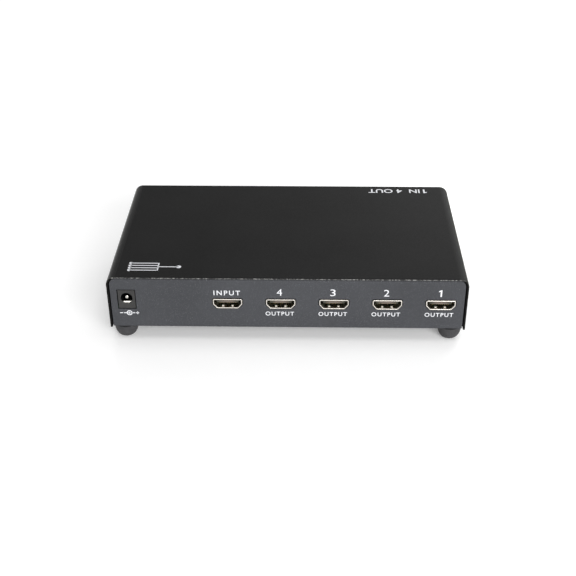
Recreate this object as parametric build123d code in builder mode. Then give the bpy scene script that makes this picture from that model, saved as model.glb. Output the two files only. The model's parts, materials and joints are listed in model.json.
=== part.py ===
from build123d import *
import os

# A four-way video splitter in a folded steel case. Sizes are in millimetres.
# +Z is up. The origin lies under the middle of the case, on the surface that the feet stand on.
# The front, with the lights and the power button, faces -Y. The sockets face +Y.

os.makedirs("parts", exist_ok=True)

# Case, folded from one sheet for the base and one for the cover
case_width = 184.5
case_depth = 103.0
case_height = 30.5
sheet = 1.0
cover_bend = 5.0
cover_drop = 0.3
cover_seam = 0.3
sheet_edge = 0.2
base_bend = 1.2
panel_end_gap = 0.7
panel_flange = 8.0
panel_flange_relief = 10.0
side_flange = 10.0
side_flange_relief = 6.0
side_slip = 0.05
cut_overrun = 1.0

# Feet, stuck on with adhesive discs
foot_height = 8.0
foot_diameter = 12.4
foot_rim = 1.2
foot_flat = 5.0
foot_side_inset = 7.25
foot_panel_inset = 0.3
adhesive_thickness = 0.5
adhesive_inset = 0.8

# Countersunk screws through the cover's sides
cover_screw = 3.0
cover_screw_head = 5.4
cover_screw_length = 5.0
cover_screw_height = 6.0
cover_screw_spacing = 70.0
recess_length = 2.2
recess_width = 0.5
recess_depth = 0.7

# Circuit board on its standoffs
board_height = 11.6
board_thickness = 1.6
board_side_gap = 1.3
board_panel_gap = 0.7
standoff_width = 5.0
standoff_shank = 4.2
standoff_side_inset = 4.5
standoff_panel_inset = 26.0
board_screw = 3.0
board_screw_clearance = 0.2
board_screw_length = 7.0
board_screw_head = 5.5
board_screw_head_height = 1.9
screw_head_edge = 0.5

# Video sockets along the rear edge, wide side up
port_opening_width = 14.0
port_opening_height = 4.55
port_side_height = 2.4
port_floor_width = 10.4
port_corner = 0.35
port_wall = 0.5
port_lip = 0.15
port_depth = 11.5
port_proud = 0.4
port_hole_gap = 0.45
port_height = 15.0
port_pitch = 27.28
port_edge_inset = 13.65
port_leg_width = 1.2
port_leg_tail = 0.9
port_leg_setbacks = (3.2, 9.2)
spring_reach = 2.4
spring_width = 1.3
spring_window_gap = 0.3
spring_window_start = 1.3
spring_window_end = 5.6
spring_thickness = 0.25
spring_crest_setback = 2.3
spring_crest = 0.5
spring_tip_rise = 0.15

# Insulator with its tongue, and the contacts on both sides of the tongue
tongue_width = 11.0
tongue_thickness = 1.2
tongue_raise = 0.5
tongue_setback = 1.3
tongue_chamfer = 0.25
insulator_block = 4.2
insulator_foot_width = 9.8
insulator_foot_depth = 2.6
contact_pitch = 1.0
contact_width = 0.3
contact_thickness = 0.2
contact_setback = 0.4
contact_pad = 0.9
upper_contacts = 10
lower_contacts = 9

# Power inlet for a coaxial plug, at the rear
jack_width = 8.8
jack_height = 10.9
jack_depth = 14.4
jack_edge = 0.25
jack_hole_gap = 0.4
jack_side_inset = 9.85
jack_bore = 6.0
jack_bore_depth = 9.6
jack_bore_height = 6.1
jack_bore_edge = 0.3
jack_rear_wall = 1.4
jack_side_wall = 1.0
jack_pin = 2.0
jack_pin_setback = 1.0
jack_pin_shank = 1.2
jack_tab_width = 2.2
jack_tab_thickness = 0.5
jack_spring_width = 4.2
jack_spring_thickness = 0.35
jack_spring_slot_gap = 0.1
jack_spring_start = 0.8
jack_spring_lip = 0.6
jack_spring_lip_rise = 0.45
jack_spring_crest = 3.2
jack_spring_rise = 0.55
jack_spring_end = 6.8
terminal_tail = 1.0
terminal_hole_gap = 0.25

# Lights: 3 mm lamps lying in black holders along the front edge
led_diameter = 3.0
led_length = 4.3
led_rim = 3.8
led_rim_thickness = 1.0
led_proud = 1.0
led_hole_gap = 0.1
led_height = 3.6
led_pitch = 26.2
led_side_inset = 15.55
power_led_side_inset = 32.15
led_lead = 0.5
led_lead_spacing = 2.54
led_lead_run = 1.5
led_holder_width = 4.8
led_holder_top = 2.4
led_holder_panel_gap = 0.4
led_holder_behind = 0.6
led_bore_gap = 0.05

# Power button and the push switch behind it
button_diameter = 8.8
button_hole = 10.8
button_proud = 2.0
button_length = 8.4
button_crown = 0.35
button_edge = 0.5
button_side_inset = 17.05
button_height = 5.2
button_travel = 2.5
stem_width = 3.0
stem_socket = 5.0
stem_gap = 0.06
switch_width = 8.5
switch_height = 8.6
switch_length = 13.0
switch_wall = 0.8
switch_clearance = 4.6
slider_width = 6.7
slider_height = 5.0
slider_length = 4.5
slider_gap = 0.1
bridge_width = 1.2
bridge_thickness = 0.3
bridge_spacing = 5.0
bridge_gap = 0.05
switch_pin_width = 0.8
switch_pin_thickness = 0.4
switch_pin_pitch = 3.6
spring_wire = 0.4
spring_diameter = 3.6
spring_turns = 6
spring_seat_gap = 0.02

# Splitter chip under its heat sink, in the middle of the row of sockets
splitter_size = 14.0
splitter_thickness = 1.4
splitter_setback = 41.5
splitter_leads = 20
splitter_lead_pitch = 0.65
chip_gap = 0.1
lead_thickness = 0.15
lead_width = 0.3
lead_shoulder = 0.35
lead_foot = 0.6
thermal_pad_thickness = 0.5
thermal_pad_inset = 0.5
heatsink_size = 19.0
heatsink_base = 2.0
heatsink_height = 8.0
heatsink_fins = 7
heatsink_fin = 1.0

# Controller chip with its crystal, in front of the splitter chip
controller_size = 10.0
controller_thickness = 1.2
controller_x = 26.0
controller_y = -12.0
controller_leads = 11
controller_lead_pitch = 0.8
crystal_length = 11.0
crystal_width = 4.7
crystal_height = 3.5
crystal_foot = 0.5
crystal_foot_rim = 0.3
crystal_gap = 4.0

# Memory and protection chips behind each socket
memory_length = 4.9
memory_width = 3.9
memory_thickness = 1.4
memory_leads = 4
memory_lead_pitch = 1.27
memory_setback = 20.0
protection_length = 2.5
protection_width = 1.2
protection_thickness = 0.6
protection_spacing = 6.0
protection_setback = 14.6

# Power supply parts, in front of the power inlet
capacitor_diameter = 8.0
capacitor_height = 10.5
capacitor_groove = 0.35
capacitor_groove_height = 1.6
capacitor_side_inset = 17.0
capacitor_setbacks = (27.5, 38.5)
inductor_size = 7.3
inductor_height = 3.6
inductor_corner = 1.2
inductor_drum = 5.4
inductor_drum_step = 0.3
inductor_side_inset = 29.0
inductor_setback = 32.5
diode_length = 4.3
diode_width = 2.6
diode_thickness = 2.2
diode_foot = 0.8
diode_foot_height = 0.4
diode_side_inset = 29.0
diode_setback = 26.0
regulator_width = 6.5
regulator_length = 6.1
regulator_thickness = 2.3
regulator_tab = 1.6
regulator_tab_thickness = 0.5
regulator_lead_width = 0.8
regulator_lead_run = 1.6
regulator_lead_pitch = 2.3
regulator_side_inset = 29.0
regulator_setback = 43.5

# Small chip capacitors and resistors
chip_part_length = 1.6
chip_part_width = 0.8
chip_capacitor_height = 0.8
chip_resistor_height = 0.45
chip_part_gap = 1.2
chip_part_spacing = 3.2
chip_row_count = 4

# Heights
base_under = foot_height
base_floor = base_under + sheet
cover_top = base_under + case_height
cover_bottom = base_under - cover_drop
panel_top = cover_top - sheet - cover_seam
board_top = base_under + board_height
board_under = board_top - board_thickness
port_z = base_under + port_height
tongue_low = port_z + tongue_raise - tongue_thickness / 2
tongue_high = tongue_low + tongue_thickness
port_floor = port_z - port_opening_height / 2
port_roof = port_z + port_opening_height / 2
jack_bore_z = board_top + jack_bore_height
jack_bore_low = jack_bore_z - jack_bore / 2
led_z = board_top + led_height
button_z = board_top + button_height
cover_screw_z = base_under + cover_screw_height

# Places along Y
rear_face = case_depth / 2
front_face = -case_depth / 2
port_mouth = rear_face + port_proud
port_back = port_mouth - port_depth
board_rear = rear_face - sheet - board_panel_gap
board_front = front_face + sheet + board_panel_gap
jack_back = rear_face - jack_depth
led_tip = front_face - led_proud
led_rim_front = led_tip + led_length
led_rim_back = led_rim_front + led_rim_thickness
button_face = front_face - button_proud
switch_front = button_face + button_length + button_travel + switch_clearance
switch_back = switch_front + switch_length
slider_front = switch_front + switch_wall + slider_gap
slider_back = slider_front + slider_length
stem_tip = button_face + button_length - stem_socket

# Places along X
panel_width = case_width - 2 * (sheet + panel_end_gap)
side_flange_x = case_width / 2 - sheet - side_slip
board_width = 2 * (side_flange_x - sheet - board_side_gap)
first_port_x = port_edge_inset - case_width / 2
port_xs = {
    "video_out_1": first_port_x,
    "video_out_2": first_port_x + port_pitch,
    "video_out_3": first_port_x + 2 * port_pitch,
    "video_out_4": first_port_x + 3 * port_pitch,
    "video_in": first_port_x + 4 * port_pitch,
}
jack_x = case_width / 2 - jack_side_inset
first_led_x = led_side_inset - case_width / 2
led_xs = {
    "port_led_1": first_led_x,
    "port_led_2": first_led_x + led_pitch,
    "port_led_3": first_led_x + 2 * led_pitch,
    "port_led_4": first_led_x + 3 * led_pitch,
    "power_led": case_width / 2 - power_led_side_inset,
}
button_x = case_width / 2 - button_side_inset
splitter_x = port_xs["video_out_3"]
splitter_y = rear_face - splitter_setback
power_x = case_width / 2

# Fixings that several pieces share
standoff_x = board_width / 2 - standoff_side_inset
standoff_y = case_depth / 2 - standoff_panel_inset
middle_standoff_x = (port_xs["video_out_4"] + port_xs["video_in"]) / 2
standoff_places = [
    (x, y) for x in (-standoff_x, middle_standoff_x, standoff_x) for y in (-standoff_y, standoff_y)
]
cover_screw_planes = [
    Plane(origin=(end * case_width / 2, y, cover_screw_z), x_dir=(0, 1, 0), z_dir=(end, 0, 0))
    for end in (-1, 1)
    for y in (-cover_screw_spacing / 2, cover_screw_spacing / 2)
]


def upright(y):
    """The upright plane at y. A sketch on it is in X and Z, and extrudes towards the front."""
    return Plane.XZ.offset(-y)


# The socket's opening, a rectangle whose lower corners slope in
with BuildSketch() as port_opening:
    with BuildLine():
        Polyline(
            (-port_opening_width / 2, port_opening_height / 2),
            (port_opening_width / 2, port_opening_height / 2),
            (port_opening_width / 2, port_opening_height / 2 - port_side_height),
            (port_floor_width / 2, -port_opening_height / 2),
            (-port_floor_width / 2, -port_opening_height / 2),
            (-port_opening_width / 2, port_opening_height / 2 - port_side_height),
            close=True,
        )
    make_face()
    fillet(port_opening.vertices(), radius=port_corner)

with BuildSketch() as port_outside:
    add(port_opening.sketch)
    offset(amount=port_wall)

with BuildSketch() as port_hole:
    add(port_outside.sketch)
    offset(amount=port_hole_gap)


def make_top_cover():
    """One sheet folded down over both sides, held by two screws a side."""
    side = case_width / 2
    with BuildPart() as cover:
        with BuildSketch(Plane.XZ):
            with BuildLine():
                FilletPolyline(
                    (-side, cover_bottom),
                    (-side, cover_top),
                    (side, cover_top),
                    (side, cover_bottom),
                    radius=cover_bend,
                )
                offset(amount=sheet, side=Side.RIGHT)
            make_face()
        extrude(amount=case_depth / 2, both=True)
        ends = cover.faces().sort_by(Axis.Y)
        fillet(ends[0].edges() + ends[-1].edges(), radius=sheet_edge)
        with Locations(*cover_screw_planes):
            CounterSinkHole(cover_screw / 2, cover_screw_head / 2, cover_screw_length)
    cover.part.label = "top_cover"
    export_step(cover.part, "parts/top_cover.step")


def make_base_chassis():
    """One sheet folded up into the front and rear panels, with low flanges at the sides."""
    with BuildPart() as base:
        with BuildSketch(Plane.YZ):
            with BuildLine():
                FilletPolyline(
                    (rear_face - panel_flange, panel_top),
                    (rear_face, panel_top),
                    (rear_face, base_under),
                    (front_face, base_under),
                    (front_face, panel_top),
                    (front_face + panel_flange, panel_top),
                    radius=base_bend,
                )
                offset(amount=sheet, side=Side.RIGHT)
            make_face()
        extrude(amount=panel_width / 2, both=True)

        # The panels' upper corners follow the inside of the cover's bends
        with BuildSketch(Plane.XZ) as outline:
            with Locations((0, base_under)):
                Rectangle(panel_width, panel_top - base_under, align=(Align.CENTER, Align.MIN))
            upper = outline.vertices().group_by(Axis.Y)[-1]
            fillet(upper, radius=cover_bend - sheet - panel_end_gap)
        extrude(amount=case_depth / 2, both=True, mode=Mode.INTERSECT)
        for end in (-1, 1):
            with Locations((end * panel_width / 2, 0, panel_top)):
                Box(
                    2 * panel_flange_relief,
                    case_depth - 2 * sheet,
                    2 * base_bend,
                    mode=Mode.SUBTRACT,
                )

        with BuildSketch(Plane.XZ):
            with BuildLine():
                FilletPolyline(
                    (panel_width / 2 - side_flange, base_under),
                    (side_flange_x, base_under),
                    (side_flange_x, base_under + side_flange),
                    radius=base_bend,
                )
                offset(amount=sheet, side=Side.LEFT)
            make_face()
            mirror(about=Plane.YZ)
        extrude(amount=case_depth / 2 - side_flange_relief, both=True)
        with Locations(*cover_screw_planes):
            CounterSinkHole(cover_screw / 2, cover_screw_head / 2, cover_screw_length)

        with BuildSketch(upright(rear_face + cut_overrun)):
            with Locations(*[(x, port_z) for x in port_xs.values()]):
                add(port_hole.sketch)
            with Locations((jack_x, board_top + jack_height / 2)):
                Rectangle(jack_width + 2 * jack_hole_gap, jack_height + 2 * jack_hole_gap)
        extrude(amount=sheet + 2 * cut_overrun, mode=Mode.SUBTRACT)
        with BuildSketch(upright(front_face + sheet + cut_overrun)):
            with Locations(*[(x, led_z) for x in led_xs.values()]):
                Circle(led_diameter / 2 + led_hole_gap)
            with Locations((button_x, button_z)):
                Circle(button_hole / 2)
        extrude(amount=sheet + 2 * cut_overrun, mode=Mode.SUBTRACT)
        with BuildSketch(Plane.XY.offset(base_under)):
            with Locations(*standoff_places):
                Circle(standoff_shank / 2)
        extrude(amount=sheet, mode=Mode.SUBTRACT)
    base.part.label = "base_chassis"
    export_step(base.part, "parts/base_chassis.step")


def make_feet():
    """Four domed rubber feet in the corners, and the adhesive discs above them."""
    foot_x = case_width / 2 - foot_side_inset
    foot_y = case_depth / 2 - foot_panel_inset - foot_diameter / 2
    rubber_top = base_under - adhesive_thickness
    for row, y in (("front", -foot_y), ("rear", foot_y)):
        for hand, x in (("left", -foot_x), ("right", foot_x)):
            with BuildPart() as foot:
                with BuildSketch(Plane.XZ):
                    with BuildLine():
                        Polyline(
                            (0, 0),
                            (0, rubber_top),
                            (foot_diameter / 2, rubber_top),
                            (foot_diameter / 2, rubber_top - foot_rim),
                        )
                        EllipticalCenterArc(
                            (foot_flat / 2, rubber_top - foot_rim),
                            (foot_diameter - foot_flat) / 2,
                            rubber_top - foot_rim,
                            start_angle=270,
                            arc_size=90,
                        )
                        Line((foot_flat / 2, 0), (0, 0))
                    make_face()
                revolve(axis=Axis.Z)
            with BuildPart() as placed_foot:
                with Locations((x, y, 0)):
                    add(foot.part)
            name = f"rubber_foot_{row}_{hand}"
            placed_foot.part.label = name
            export_step(placed_foot.part, f"parts/{name}.step")

    with BuildPart() as discs:
        with BuildSketch(Plane.XY.offset(rubber_top)):
            with GridLocations(2 * foot_x, 2 * foot_y, 2, 2):
                Circle(foot_diameter / 2 - adhesive_inset)
        extrude(amount=adhesive_thickness)
    discs.part.label = "foot_adhesive_discs"
    export_step(discs.part, "parts/foot_adhesive_discs.step")


def cut_cross_recess():
    """Cuts the driver's cross into the top of each screw head at the current places."""
    for turn in (0, 90):
        Box(
            recess_length,
            recess_width,
            recess_depth,
            rotation=(0, 0, turn),
            align=(Align.CENTER, Align.CENTER, Align.MAX),
            mode=Mode.SUBTRACT,
        )


def make_cover_screws():
    """Two countersunk screws a side, through the cover into the base's flanges."""
    down = (Align.CENTER, Align.CENTER, Align.MAX)
    head_depth = (cover_screw_head - cover_screw) / 2
    with BuildPart() as screws:
        with Locations(*cover_screw_planes):
            Cylinder(cover_screw / 2, cover_screw_length, align=down)
            Cone(cover_screw / 2, cover_screw_head / 2, head_depth, align=down)
            cut_cross_recess()
    screws.part.label = "cover_screws"
    export_step(screws.part, "parts/cover_screws.step")


def make_board_fixings():
    """Six pillars clinched into the base, and the screws that hold the board on them."""
    pillar_height = board_under - base_floor
    with BuildPart() as standoffs:
        with BuildSketch(Plane.XY.offset(base_under)):
            with Locations(*standoff_places):
                Circle(standoff_shank / 2)
        extrude(amount=sheet)
        with BuildSketch(Plane.XY.offset(base_floor)):
            with Locations(*standoff_places):
                RegularPolygon(standoff_width / 2, 6, major_radius=False)
        extrude(amount=pillar_height)
        with BuildSketch(Plane.XY.offset(board_under)):
            with Locations(*standoff_places):
                Circle(board_screw / 2)
        extrude(amount=-pillar_height, mode=Mode.SUBTRACT)
    standoffs.part.label = "board_standoffs"
    export_step(standoffs.part, "parts/board_standoffs.step")

    head_top = board_top + board_screw_head_height
    with BuildPart() as screws:
        with BuildSketch(Plane.XY.offset(board_top)):
            with Locations(*standoff_places):
                Circle(board_screw_head / 2)
        extrude(amount=board_screw_head_height)
        fillet(screws.faces().group_by(Axis.Z)[-1].edges(), radius=screw_head_edge)
        with BuildSketch(Plane.XY.offset(board_top)):
            with Locations(*standoff_places):
                Circle(board_screw / 2)
        extrude(amount=-board_screw_length)
        with Locations(*[(x, y, head_top) for x, y in standoff_places]):
            cut_cross_recess()
    screws.part.label = "board_screws"
    export_step(screws.part, "parts/board_screws.step")


def terminal_holes():
    """Every hole in the board that a leg or a lead goes through: its place and its size."""
    gap = 2 * terminal_hole_gap
    leg_x = (port_opening_width + port_wall) / 2
    holes = [
        (x + side * leg_x, port_mouth - back, port_wall + gap, port_leg_width + gap)
        for x in port_xs.values()
        for side in (-1, 1)
        for back in port_leg_setbacks
    ]
    holes += [
        (jack_x, jack_tab_y(), jack_tab_width + gap, jack_tab_thickness + gap),
        (jack_x, jack_spring_leg_y(), jack_spring_width + gap, jack_spring_thickness + gap),
    ]
    holes += [
        (x + side * led_lead_spacing / 2, led_lead_y(), led_lead + gap, led_lead + gap)
        for x in led_xs.values()
        for side in (-1, 1)
    ]
    holes += [
        (x, y, switch_pin_thickness + gap, switch_pin_width + gap) for x, y in switch_pin_places()
    ]
    return holes


def jack_tab_y():
    """Where the pin's flat tab goes down behind the inlet's rear wall."""
    return rear_face - jack_bore_depth - jack_rear_wall - jack_tab_thickness / 2


def jack_spring_leg_y():
    """Where the spring contact's leg goes down through the inlet's floor."""
    return rear_face - jack_spring_end + jack_spring_thickness / 2


def led_lead_y():
    """Where a lamp's leads turn down behind its holder."""
    return led_rim_back + led_lead_run - led_lead / 2


def switch_pin_places():
    """The six pins, two rows of three along the switch."""
    middle = (switch_front + switch_back) / 2
    return [
        (button_x + side * bridge_spacing / 2, middle + step * switch_pin_pitch)
        for side in (-1, 1)
        for step in (-1, 0, 1)
    ]


def make_main_board():
    """The one circuit board that carries every socket, light and chip."""
    with BuildPart() as board:
        with BuildSketch(Plane.XY.offset(board_under)):
            Rectangle(board_width, board_rear - board_front)
            with Locations(*standoff_places):
                Circle(board_screw / 2 + board_screw_clearance, mode=Mode.SUBTRACT)
            for x, y, width, length in terminal_holes():
                with Locations((x, y)):
                    Rectangle(width, length, mode=Mode.SUBTRACT)
        extrude(amount=board_thickness)
    board.part.label = "main_board"
    export_step(board.part, "parts/main_board.step")


def make_port_shell(name, x):
    """The plated shell: a folded tube with four board legs and four inner springs."""
    leg_x = (port_opening_width + port_wall) / 2
    leg_top = port_roof - port_side_height / 2
    leg_bottom = board_under - port_leg_tail
    with BuildPart() as shell:
        with BuildSketch(upright(port_mouth)):
            with Locations((x, port_z)):
                add(port_outside.sketch)
                add(port_opening.sketch, mode=Mode.SUBTRACT)
        extrude(amount=port_depth)
        mouth = shell.faces().sort_by(Axis.Y)[-1]
        fillet(mouth.edges(), radius=port_lip)

        with BuildSketch(Plane.XY.offset(leg_bottom)):
            for back in port_leg_setbacks:
                with Locations((x - leg_x, port_mouth - back), (x + leg_x, port_mouth - back)):
                    Rectangle(port_wall, port_leg_width)
        extrude(amount=leg_top - leg_bottom)

        # The floor is open at the back, where the insulator's foot goes down to the board
        with Locations((x, port_back, port_floor)):
            Box(
                insulator_foot_width,
                insulator_foot_depth,
                port_wall,
                align=(Align.CENTER, Align.MIN, Align.MAX),
                mode=Mode.SUBTRACT,
            )

        # Springs bent in from windows in the floor and the roof
        window_length = spring_window_end - spring_window_start
        window_width = spring_width + 2 * spring_window_gap
        for side in (-1, 1):
            spring_x = x + side * spring_reach
            for wall, inward in ((port_floor, 1), (port_roof, -1)):
                with Locations((spring_x, port_mouth - spring_window_start, wall)):
                    Box(
                        window_width,
                        window_length,
                        2 * port_wall,
                        align=(Align.CENTER, Align.MAX, Align.CENTER),
                        mode=Mode.SUBTRACT,
                    )
                with BuildSketch(Plane.YZ.offset(spring_x)):
                    with BuildLine():
                        Polyline(
                            (port_mouth - spring_window_end - port_wall, wall),
                            (port_mouth - spring_window_end, wall),
                            (port_mouth - spring_crest_setback, wall + inward * spring_crest),
                            (port_mouth - spring_window_start, wall + inward * spring_tip_rise),
                        )
                        bend = Side.RIGHT if inward > 0 else Side.LEFT
                        offset(amount=spring_thickness, side=bend)
                    make_face()
                extrude(amount=spring_width / 2, both=True)
    shell.part.label = f"{name}_shell"
    export_step(shell.part, f"parts/{name}_shell.step")


def make_port_contacts(name, x):
    """Nineteen strips in two rows, from the tongue to pads on the board behind the socket."""
    start = port_mouth - tongue_setback - contact_setback
    rows = (
        (upper_contacts, tongue_high, Side.LEFT),
        (lower_contacts, tongue_low, Side.RIGHT),
    )
    with BuildPart() as contacts:
        for count, level, outward in rows:
            strip_low = level if outward == Side.LEFT else level - contact_thickness
            strip_high = strip_low + contact_thickness
            for place in range(count):
                contact_x = x + (place - (count - 1) / 2) * contact_pitch
                with BuildSketch(Plane.YZ.offset(contact_x)):
                    with BuildLine():
                        Polyline(
                            (start, strip_low),
                            (start, strip_high),
                            (port_back - contact_thickness, strip_high),
                            (port_back - contact_thickness, board_top + contact_thickness),
                            (port_back - contact_pad, board_top + contact_thickness),
                            (port_back - contact_pad, board_top),
                            (port_back, board_top),
                            (port_back, strip_low),
                            close=True,
                        )
                    make_face()
                extrude(amount=contact_width / 2, both=True)
    contacts.part.label = f"{name}_contacts"
    export_step(contacts.part, f"parts/{name}_contacts.step")
    return contacts.part


def make_port_insulator(name, x, contacts):
    """The moulded block that closes the shell's back and carries the tongue."""
    block_front = port_back + insulator_block
    tongue_front = port_mouth - tongue_setback
    with BuildPart() as insulator:
        with Locations((x, tongue_front, tongue_low)):
            Box(
                tongue_width,
                tongue_front - block_front,
                tongue_thickness,
                align=(Align.CENTER, Align.MAX, Align.MIN),
            )
        tip = insulator.faces().sort_by(Axis.Y)[-1]
        chamfer(tip.edges().filter_by(Axis.X), length=tongue_chamfer)
        with BuildSketch(upright(block_front)):
            with Locations((x, port_z)):
                add(port_opening.sketch)
        extrude(amount=insulator_block)
        with Locations((x, port_back, board_top)):
            Box(
                insulator_foot_width,
                insulator_foot_depth,
                port_floor + port_wall - board_top,
                align=(Align.CENTER, Align.MIN, Align.MIN),
            )
        add(contacts, mode=Mode.SUBTRACT)
    insulator.part.label = f"{name}_insulator"
    export_step(insulator.part, f"parts/{name}_insulator.step")


def make_dc_jack():
    """The power inlet: a moulded body, its centre pin, and the spring that meets the plug."""
    middle_z = board_top + jack_height / 2
    rear_cavity = jack_depth - jack_bore_depth - jack_rear_wall
    slot_length = jack_spring_end - jack_spring_start + jack_spring_thickness
    with BuildPart() as body:
        with BuildSketch(upright(rear_face)):
            with Locations((jack_x, middle_z)):
                Rectangle(jack_width, jack_height)
        extrude(amount=jack_depth)
        fillet(body.faces().sort_by(Axis.Y)[-1].edges(), radius=jack_edge)
        with BuildSketch(upright(rear_face)):
            with Locations((jack_x, jack_bore_z)):
                Circle(jack_bore / 2)
        extrude(amount=jack_bore_depth, mode=Mode.SUBTRACT)
        mouth = body.edges().filter_by(GeomType.CIRCLE).sort_by(Axis.Y)[-1]
        chamfer(mouth, length=jack_bore_edge)
        with BuildSketch(upright(rear_face - jack_bore_depth)):
            with Locations((jack_x, jack_bore_z)):
                Circle(jack_pin_shank / 2)
        extrude(amount=jack_rear_wall, mode=Mode.SUBTRACT)
        with Locations((jack_x, jack_back, board_top)):
            Box(
                jack_width - 2 * jack_side_wall,
                rear_cavity,
                jack_height - jack_side_wall,
                align=(Align.CENTER, Align.MIN, Align.MIN),
                mode=Mode.SUBTRACT,
            )
        with Locations((jack_x, rear_face - jack_spring_end, board_top)):
            Box(
                jack_spring_width + 2 * jack_spring_slot_gap,
                slot_length,
                jack_bore_height,
                align=(Align.CENTER, Align.MIN, Align.MIN),
                mode=Mode.SUBTRACT,
            )
    body.part.label = "dc_jack_body"
    export_step(body.part, "parts/dc_jack_body.step")

    bore_end = rear_face - jack_bore_depth
    pin_length = jack_bore_depth - jack_pin_setback
    with BuildPart() as pin:
        with BuildSketch(upright(bore_end)):
            with Locations((jack_x, jack_bore_z)):
                Circle(jack_pin / 2)
        extrude(amount=-pin_length)
        fillet(pin.edges().sort_by(Axis.Y)[-1], radius=jack_pin / 4)
        with BuildSketch(upright(bore_end)):
            with Locations((jack_x, jack_bore_z)):
                Circle(jack_pin_shank / 2)
        extrude(amount=jack_rear_wall)
        with BuildSketch(upright(bore_end - jack_rear_wall)):
            with Locations((jack_x, jack_bore_z + jack_tab_width / 2)):
                Rectangle(
                    jack_tab_width,
                    jack_bore_z + jack_tab_width / 2 - board_under + terminal_tail,
                    align=(Align.CENTER, Align.MAX),
                )
        extrude(amount=jack_tab_thickness)
    pin.part.label = "dc_jack_pin"
    export_step(pin.part, "parts/dc_jack_pin.step")

    leg_y = rear_face - jack_spring_end
    knee_z = jack_bore_low - 2 * jack_spring_thickness
    with BuildPart() as spring:
        with BuildSketch(Plane.YZ.offset(jack_x)):
            with BuildLine():
                Polyline(
                    (rear_face - jack_spring_start, jack_bore_low),
                    (rear_face - jack_spring_start - jack_spring_lip, jack_bore_low + jack_spring_lip_rise),
                    (rear_face - jack_spring_crest, jack_bore_low + jack_spring_rise),
                    (leg_y, knee_z),
                    (leg_y, board_under - terminal_tail),
                )
                offset(amount=jack_spring_thickness, side=Side.LEFT)
            make_face()
        extrude(amount=jack_spring_width / 2, both=True)
    spring.part.label = "dc_jack_spring_contact"
    export_step(spring.part, "parts/dc_jack_spring_contact.step")


def make_led(name, x):
    """A clear lamp with a domed nose and a rim at its base."""
    radius = led_diameter / 2
    with BuildPart() as led:
        with BuildSketch(Plane(origin=(x, led_tip, led_z), x_dir=(1, 0, 0), z_dir=(0, 0, 1))):
            with BuildLine():
                Polyline(
                    (radius, radius),
                    (radius, led_length),
                    (led_rim / 2, led_length),
                    (led_rim / 2, led_length + led_rim_thickness),
                    (0, led_length + led_rim_thickness),
                    (0, 0),
                )
                RadiusArc((0, 0), (radius, radius), radius)
            make_face()
        revolve(axis=Axis((x, led_tip, led_z), (0, 1, 0)))
    led.part.label = name
    export_step(led.part, f"parts/{name}.step")


def make_led_fittings():
    """The five black holders, and the ten bent leads."""
    holder_front = front_face + sheet + led_holder_panel_gap
    holder_back = led_rim_back + led_holder_behind
    with BuildPart() as holders:
        with BuildSketch(upright(holder_back)):
            with Locations(*[(x, board_top) for x in led_xs.values()]):
                Rectangle(
                    led_holder_width,
                    led_height + led_holder_top,
                    align=(Align.CENTER, Align.MIN),
                )
        extrude(amount=holder_back - holder_front)
        with BuildSketch(upright(holder_back)):
            with Locations(*[(x, led_z) for x in led_xs.values()]):
                Circle(led_diameter / 2 + led_bore_gap)
        extrude(amount=holder_back - holder_front, mode=Mode.SUBTRACT)
        with BuildSketch(upright(holder_back)):
            with Locations(*[(x, led_z) for x in led_xs.values()]):
                Circle(led_rim / 2 + led_bore_gap)
        extrude(amount=holder_back - led_rim_front, mode=Mode.SUBTRACT)
    holders.part.label = "led_holders"
    export_step(holders.part, "parts/led_holders.step")

    turn_y = led_rim_back + led_lead_run
    with BuildPart() as leads:
        for lamp_x in led_xs.values():
            for side in (-1, 1):
                with BuildSketch(Plane.YZ.offset(lamp_x + side * led_lead_spacing / 2)):
                    with BuildLine():
                        Polyline(
                            (led_rim_back, led_z + led_lead / 2),
                            (turn_y, led_z + led_lead / 2),
                            (turn_y, board_under - terminal_tail),
                            (turn_y - led_lead, board_under - terminal_tail),
                            (turn_y - led_lead, led_z - led_lead / 2),
                            (led_rim_back, led_z - led_lead / 2),
                            close=True,
                        )
                    make_face()
                extrude(amount=led_lead / 2, both=True)
    leads.part.label = "led_leads"
    export_step(leads.part, "parts/led_leads.step")


def make_power_button():
    """The round cap, pressed onto the switch's square stem."""
    radius = button_diameter / 2
    with BuildPart() as cap:
        with BuildSketch(Plane(origin=(button_x, button_face, button_z), z_dir=(0, 0, 1))):
            with BuildLine():
                Polyline(
                    (radius, button_crown + button_edge),
                    (radius, button_length),
                    (0, button_length),
                    (0, 0),
                )
                crown = ThreePointArc(
                    (0, 0),
                    ((radius - button_edge) / 2, button_crown / 4),
                    (radius - button_edge, button_crown),
                )
                Line(crown @ 1, (radius, button_crown + button_edge))
            make_face()
        revolve(axis=Axis((button_x, button_face, button_z), (0, 1, 0)))
        with BuildSketch(upright(button_face + button_length)):
            with Locations((button_x, button_z)):
                Rectangle(stem_width, stem_width)
        extrude(amount=stem_socket, mode=Mode.SUBTRACT)
    cap.part.label = "power_button_cap"
    export_step(cap.part, "parts/power_button_cap.step")


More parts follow.
